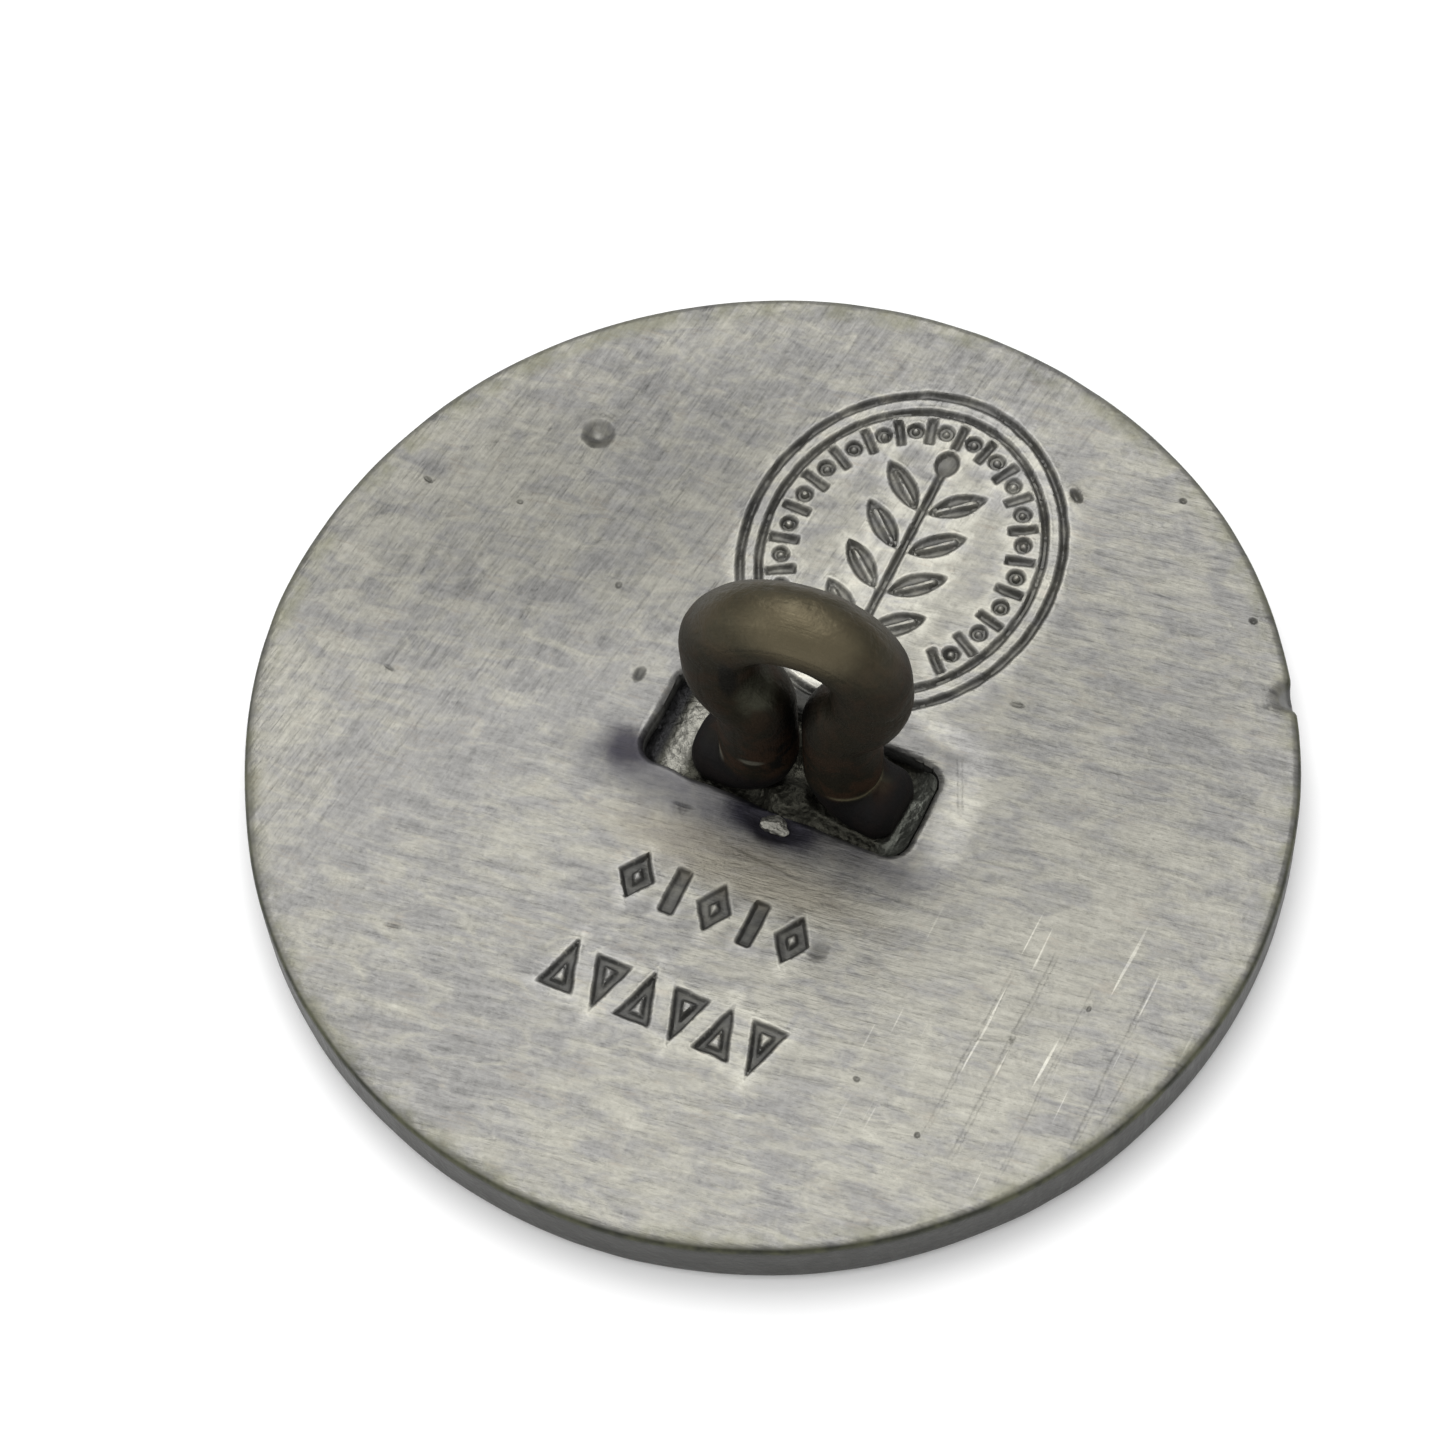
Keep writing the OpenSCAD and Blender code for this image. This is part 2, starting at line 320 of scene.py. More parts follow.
def clear_of(points, taken, reach):
    """The points that have none of the taken ones within about that reach."""
    size = int(2 * (DISC_R + 1) / reach) + 3
    full = np.zeros((size, size), bool)
    cells = np.floor((taken + DISC_R + 1) / reach).astype(int)
    for dx in (-1, 0, 1):
        for dy in (-1, 0, 1):
            full[cells[:, 0] + dx, cells[:, 1] + dy] = True
    own = np.floor((points + DISC_R + 1) / reach).astype(int)
    return points[~full[own[:, 0], own[:, 1]]]


def rings_round(centre_x, centre_y, half_l, half_w, turn, radii, count):
    """Points on rings round a dent."""
    angles = np.linspace(0, 2 * math.pi, count, endpoint=False)
    c, s = math.cos(math.radians(turn)), math.sin(math.radians(turn))
    rings = []
    for k, r in enumerate(radii):
        u = half_l * r * np.cos(angles + 0.3 * k)
        v = half_w * r * np.sin(angles + 0.3 * k)
        rings.append(np.stack([centre_x + u * c - v * s, centre_y + u * s + v * c], 1))
    return np.vstack(rings)


def mesh_object(name, points, faces, values=None):
    """A smooth-shaded mesh object from points in millimetres."""
    mesh = bpy.data.meshes.new(name)
    mesh.from_pydata((np.asarray(points) * MM).tolist(), [], faces)
    for key, numbers in (values or {}).items():
        layer = mesh.attributes.new(key, "FLOAT", "POINT")
        layer.data.foreach_set("value", np.asarray(numbers, np.float32))
    mesh.polygons.foreach_set("use_smooth", [True] * len(mesh.polygons))
    mesh.update()
    made = bpy.data.objects.new(name, mesh)
    bpy.context.scene.collection.objects.link(made)
    return made


ring_angles = np.linspace(0, 2 * math.pi, EDGE_COLUMNS, endpoint=False)
ring_r = DISC_R - BACK_ROUND
edge_ring = ring_r * np.stack([np.cos(ring_angles), np.sin(ring_angles)], 1)
fine = [
    contour(mark_gap, (-4.4, -9.0), (5.6, 12.6), (0.13, 0.085, 0.04, 0.0, -0.035, -0.07), 0.03, 0.055),
    contour(pocket_gap, (-3.8, -2.1), (5.0, 2.2), (0.26, 0.17, 0.1, 0.05, 0.01, -0.035, -0.075), 0.03, 0.06),
    contour(spill_gap, (-0.4, -2.7), (2.4, -1.0), (0.14, 0.06, -0.02, -0.1, -0.2, -0.3), 0.03, 0.06),
]
for dent in DENTS:
    count = 28 if dent[2] > 0.4 else 14
    radii = (0.12, 0.3, 0.5, 0.7, 0.85, 1.0, 1.15, 1.35)
    fine.append(rings_round(*dent[:5], radii, count))
for scratch in SCRATCHES:
    x0, y0, x1, y1, width = scratch[:5]
    length = math.hypot(x1 - x0, y1 - y0)
    ux, uy = (x1 - x0) / length, (y1 - y0) / length
    along = np.arange(0, length, 0.12)
    bend = 0.03 * cloudy(along, along * 0, 1.2, 3)
    for side in (-1.6, -0.9, 0.0, 0.9, 1.6):
        off = side * width - bend
        fine.append(np.stack([x0 + ux * along - uy * off, y0 + uy * along + ux * off], 1))
fine_points = np.vstack(fine)
fine_points = fine_points[np.hypot(fine_points[:, 0], fine_points[:, 1]) < ring_r - 0.12]
rng = np.random.default_rng(7)
column, row = np.meshgrid(np.arange(-60, 61), np.arange(-70, 71))
open_x = (column + 0.5 * (row % 2)) * 0.26
open_y = row * 0.225
open_points = np.stack([open_x.ravel(), open_y.ravel()], 1)
open_points = open_points + rng.uniform(-0.05, 0.05, open_points.shape)
inner = ring_r - 0.1
inner_ring = edge_ring[::2] * (inner / ring_r)
open_points = open_points[np.hypot(open_points[:, 0], open_points[:, 1]) < inner - 0.12]
open_points = clear_of(open_points, fine_points, 0.09)
flat = np.vstack([edge_ring, inner_ring, fine_points, open_points])

corners, _, triangles, _, _, _ = geometry.delaunay_2d_cdt([Vector(p) for p in flat.tolist()], [], [], 0, 1e-7)
face_xy = np.array([tuple(c) for c in corners])
face_z, hollow, deep, brink = back_height(face_xy[:, 0], face_xy[:, 1])
radius = np.hypot(face_xy[:, 0], face_xy[:, 1])
at_edge = np.nonzero(radius > ring_r - 1e-4)[0]
face_z[at_edge] = BACK_Z
turn_at = np.arctan2(face_xy[at_edge, 1], face_xy[at_edge, 0])
at_edge = at_edge[np.argsort(turn_at)]
turn_at = np.sort(turn_at)

profile = []
for k in range(1, 7):
    a = math.radians(90 - 15 * k)
    profile.append(
        (DISC_R - BACK_ROUND + BACK_ROUND * math.cos(a), BACK_Z - BACK_ROUND + BACK_ROUND * math.sin(a))
    )
for z in (1.45, 1.15, 0.85, 0.6):
    profile.append((DISC_R, z))
for k in range(0, 7):
    a = math.radians(-15 * k)
    profile.append(
        (DISC_R - FRONT_ROUND + FRONT_ROUND * math.cos(a), FRONT_ROUND + FRONT_ROUND * math.sin(a))
    )
profile += [
    (FIELD_R + 0.12, 0.0), (FIELD_R + 0.04, 0.02), (FIELD_R, 0.08), (FIELD_R - 0.04, 0.24),
    (FIELD_R - 0.12, FIELD_Z),
]
profile += [(r, FIELD_Z) for r in (11.6, 10.4, 8.0, 5.0, 2.5, 0.8)]

points = [np.column_stack([face_xy, face_z])]
hollows, deeps, brink_glints_and_shades = [hollow], [deep], [brink]
faces = [tuple(t) for t in triangles]
above = at_edge
total = len(face_xy)
columns = len(at_edge)
nick_angle = math.atan2(7.25, 11.75)
for r, z in profile:
    swell = 0.022 * cloudy(turn_at * 14, turn_at * 0 + z, 3.2, 51)
    swell = swell + 0.008 * cloudy(turn_at * 14, turn_at * 0 + z * 3, 0.8, 52)
    swell = swell * smooth(0.0, 1.0, (r - FIELD_R) / 1.2)
    x, y = (r + swell - 0.022) * np.cos(turn_at), (r + swell - 0.022) * np.sin(turn_at)
    points.append(np.column_stack([x, y, np.full(columns, z)]))
    hollows.append(np.full(columns, 0.0))
    deeps.append(np.full(columns, 0.0))
    brink_glints_and_shades.append(np.full(columns, 0.0))
    below = np.arange(total, total + columns)
    nxt = np.roll(np.arange(columns), -1)
    faces += [(above[i], below[i], below[j], above[j]) for i, j in enumerate(nxt)]
    above, total = below, total + columns
points.append(np.array([[0.0, 0.0, FIELD_Z]]))
hollows.append([0.0])
deeps.append([0.0])
brink_glints_and_shades.append([0.0])
faces += [(above[i], total, above[(i + 1) % columns]) for i in range(columns)]
points = np.vstack(points)

# the casting is not quite round: its edge stands out over the half that has the
# oval; in degrees, the bulge's middle, and how far to each side it is full and ends
BULGE = 0.2
BULGE_MIDDLE, BULGE_FULL, BULGE_END = 120.0, 60.0, 90.0
around = np.degrees(np.arctan2(points[:, 1], points[:, 0])) % 360.0
reach = np.hypot(points[:, 0], points[:, 1])
stands_out = BULGE * smooth(BULGE_END, BULGE_FULL, np.abs(around - BULGE_MIDDLE))
points[:, :2] *= (1 + stands_out * smooth(11.0, 13.6, reach) / DISC_R)[:, None]

# a blow has bruised the back corner
away = (np.arctan2(points[:, 1], points[:, 0]) - nick_angle) * DISC_R
reach = np.hypot(points[:, 0], points[:, 1])
bruise = np.maximum(1 - (away / 0.5) ** 2, 0) ** 1.5 * smooth(13.35, 13.85, reach)
bruise = bruise * smooth(1.2, 1.9, points[:, 2])
points[:, 2] -= 0.3 * bruise
points[:, :2] *= (1 - 0.012 * bruise)[:, None]
hollows = np.clip(np.concatenate(hollows) + bruise, 0, 1)

disc = mesh_object(
    "pewter_disc", points, [tuple(int(i) for i in f) for f in faces],
    {"hollow": hollows, "deep": np.concatenate(deeps), "brink": np.concatenate(brink_glints_and_shades)},
)
disc.data.set_sharp_from_angle(angle=math.radians(50))


class Term:
    """A socket in a node tree that can stand in a sum."""

    def __init__(self, tree, socket):
        self.tree, self.socket = tree, socket

    def math(self, operation, *others):
        return self.tree.node("ShaderNodeMath", {"operation": operation}, dict(enumerate((self,) + others)))

    def __add__(self, other):
        return self.math("ADD", other)

    __radd__ = __add__

    def __sub__(self, other):
        return self.math("SUBTRACT", other)

    def __rsub__(self, other):
        return self.tree.node("ShaderNodeMath", {"operation": "SUBTRACT"}, {0: other, 1: self})

    def __mul__(self, other):
        return self.math("MULTIPLY", other)

    __rmul__ = __mul__

    def __truediv__(self, other):
        return self.math("DIVIDE", other)

    def __pow__(self, other):
        return self.math("POWER", other)

    def step(self, start, end):
        """0 before start, 1 after end, with a soft step between."""
        return self.tree.node(
            "ShaderNodeMapRange", {"interpolation_type": "SMOOTHSTEP"},
            {"Value": self, "From Min": start, "From Max": end},
        )


class Tree:
    """A node tree that a finish or a shape is built in."""

    def __init__(self, tree):
        self.tree = tree

    def node(self, kind, settings=None, sockets=None, out=0):
        made = self.tree.nodes.new(kind)
        for key, value in (settings or {}).items():
            setattr(made, key, value)
        for key, value in (sockets or {}).items():
            if isinstance(value, Term):
                self.tree.links.new(value.socket, made.inputs[key])
            else:
                made.inputs[key].default_value = value
        return Term(self, made.outputs[out]) if len(made.outputs) else None


class Finish(Tree):
    """A material, with what its patterns need. Lengths are in millimetres."""

    def __init__(self, name):
        self.material = bpy.data.materials.new(name)
        self.material.use_nodes = True
        super().__init__(self.material.node_tree)
        self.tree.nodes.clear()
        place = self.node("ShaderNodeTexCoord", out=3)
        self.place = self.node("ShaderNodeVectorMath", {"operation": "SCALE"}, {0: place, "Scale": 1000.0})
        self.x, self.y, self.z = (
            self.node("ShaderNodeSeparateXYZ", None, {0: self.place}, i) for i in range(3)
        )

    def stretched(self, scale, turn=0.0, shift=(0.0, 0.0, 0.0)):
        """The place, turned about Z and stretched along its new axes."""
        turned_place = self.node(
            "ShaderNodeMapping", {"vector_type": "POINT"},
            {0: self.place, "Rotation": (0, 0, math.radians(turn)), "Location": shift},
        )
        return self.node("ShaderNodeVectorMath", {"operation": "MULTIPLY"}, {0: turned_place, 1: scale})

    def noise(self, where, scale, detail=2.0, roughness=0.5, distortion=0.0):
        return self.node(
            "ShaderNodeTexNoise", None,
            {
                "Vector": where, "Scale": scale, "Detail": detail, "Roughness": roughness,
                "Distortion": distortion,
            },
        )

    def mix(self, first, second, share):
        """One colour or the other, by a share from 0 to 1."""
        return self.node("ShaderNodeMix", {"data_type": "RGBA"}, {0: share, 6: first, 7: second}, 2)

    def shaded(self, colour, amount):
        """A colour made darker or lighter by a factor."""
        grey = self.node("ShaderNodeCombineColor", None, {0: amount, 1: amount, 2: amount})
        multiply = {"data_type": "RGBA", "blend_type": "MULTIPLY"}
        return self.node("ShaderNodeMix", multiply, {0: 1.0, 6: colour, 7: grey}, 2)

    def patch(self, x, y, half_l, half_w, turn=0.0, soft=0.5, ragged=None):
        """1 inside an oval patch and 0 outside it, with a soft ragged edge."""
        c, s = math.cos(math.radians(turn)), math.sin(math.radians(turn))
        dx, dy = self.x - x, self.y - y
        u, v = (dx * c + dy * s) / half_l, (dy * c - dx * s) / half_w
        away = (u * u + v * v) ** 0.5
        if ragged is not None:
            away = away + ragged
        return away.step(1.0 + soft, 1.0 - soft)

    def blot(self, centre, radii, soft=0.4, ragged=0.0):
        """1 near a point of the surface, 0 away from it, with a soft edge."""
        u, v, w = ((at - c) / r for at, c, r in zip((self.x, self.y, self.z), centre, radii))
        away = (u * u + v * v + w * w) ** 0.5 + ragged
        return away.step(1.0 + soft, 1.0 - soft)

    def bump(self, height, distance, before=None):
        sockets = {"Height": height, "Distance": distance, "Strength": 1.0}
        if before is not None:
            sockets["Normal"] = before
        return self.node("ShaderNodeBump", None, sockets)

    def surface(self, constants, **inputs):
        """The shader and the output; constants are the same all over."""
        varying = {name.replace("_", " "): value for name, value in inputs.items()}
        shader = self.node("ShaderNodeBsdfPrincipled", None, {**constants, **varying})
        self.node("ShaderNodeOutputMaterial", None, {"Surface": shader})
        return self.material


def pewter_finish():
    pewter = Finish("cast pewter")
    noise, stretched = pewter.noise, pewter.stretched
    on_back = pewter.z.step(1.7, 1.85)
    cloud = noise(pewter.place, 0.16, 3.0, 0.55)
    mottle = noise(pewter.place, 1.3, 3.0, 0.6)
    grain = noise(pewter.place, 5.5, 2.0, 0.6)
    blot = noise(stretched((0.8, 1.9, 1.0), -12), 1.0, 3.0, 0.6, 0.8)
    belt = noise(stretched((0.55, 4.2, 1.0), -10), 1.0, 5.0, 0.68, 0.5)
    belt_fine = noise(stretched((1.1, 12.0, 1.0), -8), 1.0, 3.0, 0.6, 0.4)
    file_marks = noise(stretched((4.0, 0.5, 1.0), 6), 1.0, 5.0, 0.68, 0.5)
    file_fine = noise(stretched((11.0, 1.0, 1.0), 8), 1.0, 3.0, 0.6, 0.4)
    upper_left = (pewter.y * 0.55 - pewter.x * 0.8 + cloud * 6.0).step(3.5, 8.5)
    streak = belt * (1 - upper_left) + file_marks * upper_left
    fine_streak = belt_fine * (1 - upper_left) + file_fine * upper_left
    scratch = noise(stretched((7.0, 0.3, 1.0), 1.5), 1.0, 1.0, 0.4).step(0.68, 0.74)
    scratch = scratch * pewter.patch(9.8, -5.4, 4.0, 4.6, 0, 0.4)

    low_on_face = pewter.x * 0.435 - pewter.y * 0.9
    bright = 0.93 + low_on_face * 0.003 + (cloud - 0.5) * 0.45 + (mottle - 0.5) * 0.45
    bright = bright + (grain - 0.5) * 0.45 + (blot - 0.5) * 0.75
    bright = bright + (streak - 0.5) * 1.35 + (fine_streak - 0.5) * 0.55 + scratch * 0.7
    colour = pewter.mix(
        (0.224, 0.221, 0.212, 1), (0.244, 0.238, 0.208, 1), (cloud * 0.4 + blot * 0.6).step(0.4, 0.6)
    )
    colour = pewter.mix(
        colour, (0.2, 0.18, 0.152, 1), (mottle * 0.5 + belt_fine * 0.5).step(0.55, 0.66) * 0.45
    )
    colour = pewter.shaded(colour, bright)

    attribute = pewter.node("ShaderNodeAttribute", {"attribute_name": "hollow"}, None, 2)
    deep_part = pewter.node("ShaderNodeAttribute", {"attribute_name": "deep"}, None, 2)
    brink = pewter.node("ShaderNodeAttribute", {"attribute_name": "brink"}, None, 2)
    ragged = (mottle - 0.5) * 0.9
    # the face is made darker over its upper left and over its right
    darker_upper_left = pewter.patch(-8.0, 4.6, 7.2, 3.8, 40, 0.55, ragged)
    darker_right = pewter.patch(7.6, 3.4, 4.6, 6.2, 10, 0.6, ragged)
    colour = pewter.shaded(colour, 1 - darker_upper_left * 0.28 - darker_right * 0.16)
    # painted highlights: bright burrs right of the pocket and a thin lit strip of face beyond it
    painted_glint_patches = pewter.patch(5.2, 0.4, 0.5, 2.0, 6, 0.5, ragged * 1.4).math(
        "MAXIMUM", pewter.patch(4.1, 2.45, 1.0, 0.32, -10, 0.5, ragged)
    )
    painted_glint_patches = painted_glint_patches.math("MAXIMUM", pewter.patch(-0.1, 2.55, 1.1, 0.2, 5, 0.5, ragged * 0.5))
    # painted highlight on the burrs round the marks and on the pocket's near lip
    colour = pewter.shaded(
        colour, 1 + painted_glint_patches * 0.45 + brink.math("MAXIMUM", 0.0) * (0.15 + mottle * 0.7)
    )
    rows = pewter.patch(POCKET_X, ROW_A_Y, 3.0, 0.85, 0, 0.3, ragged * 0.6).math(
        "MAXIMUM", pewter.patch(POCKET_X, ROW_B_Y, 3.7, 0.85, 0, 0.3, ragged * 0.6)
    )
    colour = pewter.shaded(colour, 1 - rows * 0.14)
    # dark in the hollows of the marks, dents and bruise, plus painted shade just inside each mark's edge
    hollow_dark_and_brink_shade = attribute * (0.5 + 0.35 * mottle) + (brink * -1.0).math("MAXIMUM", 0.0) * 0.5
    hollow_dark_and_brink_shade = hollow_dark_and_brink_shade * (1 - pewter.y.step(1.8, 2.2) * (0.62 - cloud * 0.3))
    colour = pewter.mix(colour, (0.06, 0.06, 0.057, 1), hollow_dark_and_brink_shade.math("MINIMUM", 0.85))
    flux = pewter.patch(0.3, -1.7, 4.6, 1.1, 0, 0.45, ragged)
    colour = pewter.mix(colour, (0.085, 0.083, 0.092, 1), flux * 0.62)
    soot = pewter.patch(1.0, -1.8, 1.35, 0.6, 0, 0.3, ragged * 0.7)
    colour = pewter.mix(colour, (0.016, 0.015, 0.024, 1), soot * 0.9)
    tan = pewter.patch(0.6, -3.3, 3.6, 0.75, 0, 0.5, ragged)
    colour = pewter.mix(colour, (0.17, 0.15, 0.11, 1), tan * 0.5)
    # near-black patch on the face behind the legs: a dark stain and painted shade where the legs hide the
    # face
    stain_and_shade_behind_legs = pewter.patch(0.25, 1.82, 0.95, 0.4, 6, 0.4, ragged * 0.6)
    colour = pewter.mix(colour, (0.012, 0.012, 0.011, 1), stain_and_shade_behind_legs * 0.9)
    corner = pewter.patch(-3.45, -1.35, 0.7, 0.6, 20, 0.5, ragged * 0.7)
    colour = pewter.mix(colour, (0.026, 0.024, 0.034, 1), corner * 0.85)
    # painted shade on the pocket's lip and walls
    colour = pewter.mix(colour, (0.02, 0.02, 0.018, 1), deep_part * 0.85)

    # painted shade: the side is coloured far darker than the back, standing in for the dark surroundings it
    # reflects
    side_shade = (pewter.z.step(1.55, 1.92) + pewter.z.step(0.5, 0.0) * 0.5) * (0.7 + mottle * 0.6)
    side_colour = pewter.mix(
        (0.066, 0.066, 0.062, 1), (0.035, 0.037, 0.027, 1), side_shade.math("MINIMUM", 1.0)
    )
    side_colour = pewter.shaded(side_colour, 0.75 + mottle * 0.5)
    outside = (pewter.x * pewter.x + pewter.y * pewter.y) ** 0.5
    on_side = outside.step(13.72, 13.9) * pewter.z.step(1.99, 1.9)
    front_colour = pewter.shaded((0.24, 0.24, 0.232, 1), 0.6 + mottle * 0.8)
    colour = pewter.mix(front_colour, colour, on_back.math("MAXIMUM", deep_part))
    colour = pewter.mix(colour, side_colour, on_side)
    olive = outside.step(13.3, 13.8) * on_back * mottle.step(0.35, 0.65)
    colour = pewter.mix(colour, (0.13, 0.13, 0.08, 1), olive * 0.5)

    rough = 0.5 + (streak - 0.5) * 0.3 + (mottle - 0.5) * 0.2 + attribute * 0.15 + flux * 0.1
    height = (streak - 0.5) * 0.8 + (fine_streak - 0.5) * 0.4 + (grain - 0.5) * 0.4 + (blot - 0.5) * 0.3
    normal = pewter.bump(height, 0.00003)
    normal = pewter.bump(mottle - 0.5, 0.00004, normal)
    return pewter.surface({"Metallic": 0.9}, Base_Color=colour, Roughness=rough, Normal=normal)


cast_pewter = pewter_finish()
disc.data.materials.append(cast_pewter)
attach(disc, "root")
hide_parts("button_disc")


# ------------------------------------------------------ the front's ornament
# The front was cast with a border of round beads and a rosette of pointed
# petals round a boss. They are one with the disc, and stand in its sunk field.
BEAD_R = 0.5
BEAD_COUNT = 48
BEAD_RING_R = 11.65
BEAD_Z = 0.58
PETAL_COUNT = 8
PETAL_L = 8.25
PETAL_W = 3.2
PETAL_ROOT_R = 2.55
BOSS_R = 2.2
RELIEF = 0.22


def shaped_by_nodes(name, sizes, build, start=None):
    """A plain mesh made by a geometry node tree with named sizes."""
    group = bpy.data.node_groups.new(name, "GeometryNodeTree")
    group.interface.new_socket("Geometry", in_out="INPUT", socket_type="NodeSocketGeometry")
    group.interface.new_socket("Geometry", in_out="OUTPUT", socket_type="NodeSocketGeometry")
    keys = {}
    for size, value in sizes.items():
        kind = "NodeSocketInt" if isinstance(value, int) else "NodeSocketFloat"
        if isinstance(value, bpy.types.Material):
            kind = "NodeSocketMaterial"
        keys[size] = group.interface.new_socket(size, in_out="INPUT", socket_type=kind).identifier
    tree = Tree(group)
    entry = group.nodes.new("NodeGroupInput")
    given = {socket.name: Term(tree, socket) for socket in entry.outputs if socket.name}
    result = build(tree, given)
    tree.node("NodeGroupOutput", None, {0: result})
    holder = start or mesh_object(name + "_start", [(0, 0, 0)], [])
    modifier = holder.modifiers.new(name, "NODES")
    modifier.node_group = group
    for size, value in sizes.items():
        modifier[keys[size]] = value
    graph = bpy.context.evaluated_depsgraph_get()
    mesh = bpy.data.meshes.new_from_object(holder.evaluated_get(graph))
    bpy.data.objects.remove(holder)
    made = bpy.data.objects.new(name, mesh)
    mesh.name = name
    mesh.polygons.foreach_set("use_smooth", [True] * len(mesh.polygons))
    bpy.context.scene.collection.objects.link(made)
    return made


def finished(tree, given, shape):
    """How each tree ends: every copy made real, in the piece's material."""
    real = tree.node("GeometryNodeRealizeInstances", None, {"Geometry": shape})
    return tree.node("GeometryNodeSetMaterial", None, {"Geometry": real, "Material": given["Finish"]})


def bead_border(tree, given):
    ring = tree.node(
        "GeometryNodeMeshCircle", {"fill_type": "NONE"},
        {"Vertices": given["Beads"], "Radius": given["Ring radius"]},
    )
    bead = tree.node("GeometryNodeMeshIcoSphere", None, {"Radius": given["Bead radius"], "Subdivisions": 3})
    place = tree.node("GeometryNodeInputPosition")
    uneven = tree.node("ShaderNodeTexNoise", None, {"Vector": place, "Scale": 900.0, "Detail": 1.0})
    offset = tree.node(
        "ShaderNodeVectorMath", {"operation": "SCALE"}, {0: place, "Scale": (uneven - 0.5) * 0.12}
    )
    bead = tree.node("GeometryNodeSetPosition", None, {"Geometry": bead, "Offset": offset})
    random = tree.node(
        "FunctionNodeRandomValue", {"data_type": "FLOAT"}, {"Min": 0.94, "Max": 1.03, "Seed": 4}, 1
    )
    spin = tree.node(
        "FunctionNodeRandomValue", {"data_type": "FLOAT_VECTOR"},
        {0: (0, 0, 0), 1: (6.28, 6.28, 6.28), "Seed": 9}, 0,
    )
    beads = tree.node(
        "GeometryNodeInstanceOnPoints", None,
        {"Points": ring, "Instance": bead, "Scale": random, "Rotation": spin},
    )
    moved = tree.node(
        "GeometryNodeTransform", None,
        {"Geometry": beads, "Translation": tree.node("ShaderNodeCombineXYZ", None, {"Z": given["Height"]})},
    )
    return finished(tree, given, moved)


beads = shaped_by_nodes(
    "front_beads",
    {
        "Beads": BEAD_COUNT, "Ring radius": BEAD_RING_R * MM, "Bead radius": BEAD_R * MM,
        "Height": BEAD_Z * MM, "Finish": cast_pewter,
    },
    bead_border,
)
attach(beads, "root")


def rosette(tree, given):
    ball = tree.node("GeometryNodeMeshUVSphere", None, {"Segments": 40, "Rings": 24, "Radius": 1.0})
    place = tree.node("GeometryNodeInputPosition")
    x, y, z = (tree.node("ShaderNodeSeparateXYZ", None, {0: place}, i) for i in range(3))
    narrow = (1 - y * y).math("MAXIMUM", 0.0) ** 0.5
    across = x * narrow
    rib = (across.math("ABSOLUTE") * -14.0).math("EXPONENT")
    petal = tree.node(
        "ShaderNodeCombineXYZ", None,
        {
            "X": (y + 1.0) * given["Petal length"] * 0.5 + given["Root radius"],
            "Y": across * given["Petal width"] * 0.5,
            "Z": given["Field"] + z * (narrow**0.5) * (1 - rib * 0.5) * given["Relief"],
        },
    )
    petal = tree.node("GeometryNodeSetPosition", None, {"Geometry": ball, "Position": petal})
    hub = tree.node(
        "GeometryNodeMeshCircle", {"fill_type": "NONE"}, {"Vertices": given["Petals"], "Radius": 0.001}
    )
    index = tree.node("GeometryNodeInputIndex")
    turn = tree.node("ShaderNodeCombineXYZ", None, {"Z": index * (2 * math.pi) / given["Petals"]})
    points = tree.node("GeometryNodeSetPosition", None, {"Geometry": hub, "Position": (0, 0, 0)})
    petals = tree.node(
        "GeometryNodeInstanceOnPoints", None, {"Points": points, "Instance": petal, "Rotation": turn}
    )
    boss = tree.node("GeometryNodeMeshUVSphere", None, {"Segments": 64, "Rings": 32, "Radius": 1.0})
    away = (x * x + y * y) ** 0.5
    ring = ((away - 0.55) * 9.0).math("POWER", 2.0) * -1.0
    dome = z * given["Relief"] * (1 - ring.math("EXPONENT") * 0.35) + given["Field"]
    dome = tree.node(
        "ShaderNodeCombineXYZ", None,
        {"X": x * given["Boss radius"], "Y": y * given["Boss radius"], "Z": dome},
    )
    boss = tree.node("GeometryNodeSetPosition", None, {"Geometry": boss, "Position": dome})
    joined = tree.node("GeometryNodeJoinGeometry", None, {"Geometry": petals})
    tree.tree.links.new(boss.socket, joined.socket.node.inputs[0])
    return finished(tree, given, joined)


front_rosette = shaped_by_nodes(
    "front_rosette",
    {
        "Petals": PETAL_COUNT, "Petal length": PETAL_L * MM, "Petal width": PETAL_W * MM,
        "Root radius": PETAL_ROOT_R * MM, "Boss radius": BOSS_R * MM, "Relief": RELIEF * MM,
        "Field": FIELD_Z * MM, "Finish": cast_pewter,
    },
    rosette,
)
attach(front_rosette, "root")


# ---------------------------------------------------------------- the loop
# The shank is one length of drawn brass wire, bent round a mandrel to an eye,
# pinched to a neck, and its two ends turned out as feet. It is dark with age.
WIRE_R = 1.05
EYE_R = 2.0
LEG_X = 1.15
FLARE_R = 1.1
FLARE_ANGLE = math.degrees(math.acos((LEG_X + FLARE_R) / (EYE_R + FLARE_R)))
FOOT_BEND = 1.1
FOOT_L = 0.65
EYE_TURN = 9.0
FOOT_TURN = -4.0
NECK_L = 2.3
EYE_SIDE = 0.7
NECK_Z = 3.05
FLARE_Z = NECK_Z + NECK_L
EYE_LOW_Z = FLARE_Z + (EYE_R + FLARE_R) * math.sin(math.radians(FLARE_ANGLE))
EYE_HIGH_Z = EYE_LOW_Z + EYE_SIDE
SHANK_X = 1.0
SHANK_Y = -0.1


def arc(centre_u, centre_z, radius, start, end, count):
    angles = np.radians(np.linspace(start, end, count, endpoint=False))
    return np.stack([centre_u + radius * np.cos(angles), centre_z + radius * np.sin(angles)], 1)


def straight(u, z_from, z_to, count):
    return np.stack([np.full(count, u), np.linspace(z_from, z_to, count, endpoint=False)], 1)


def turned_about_z(path, degrees):
    c, s = math.cos(math.radians(degrees)), math.sin(math.radians(degrees))
    return path @ np.array([[c, s, 0], [-s, c, 0], [0, 0, 1]])


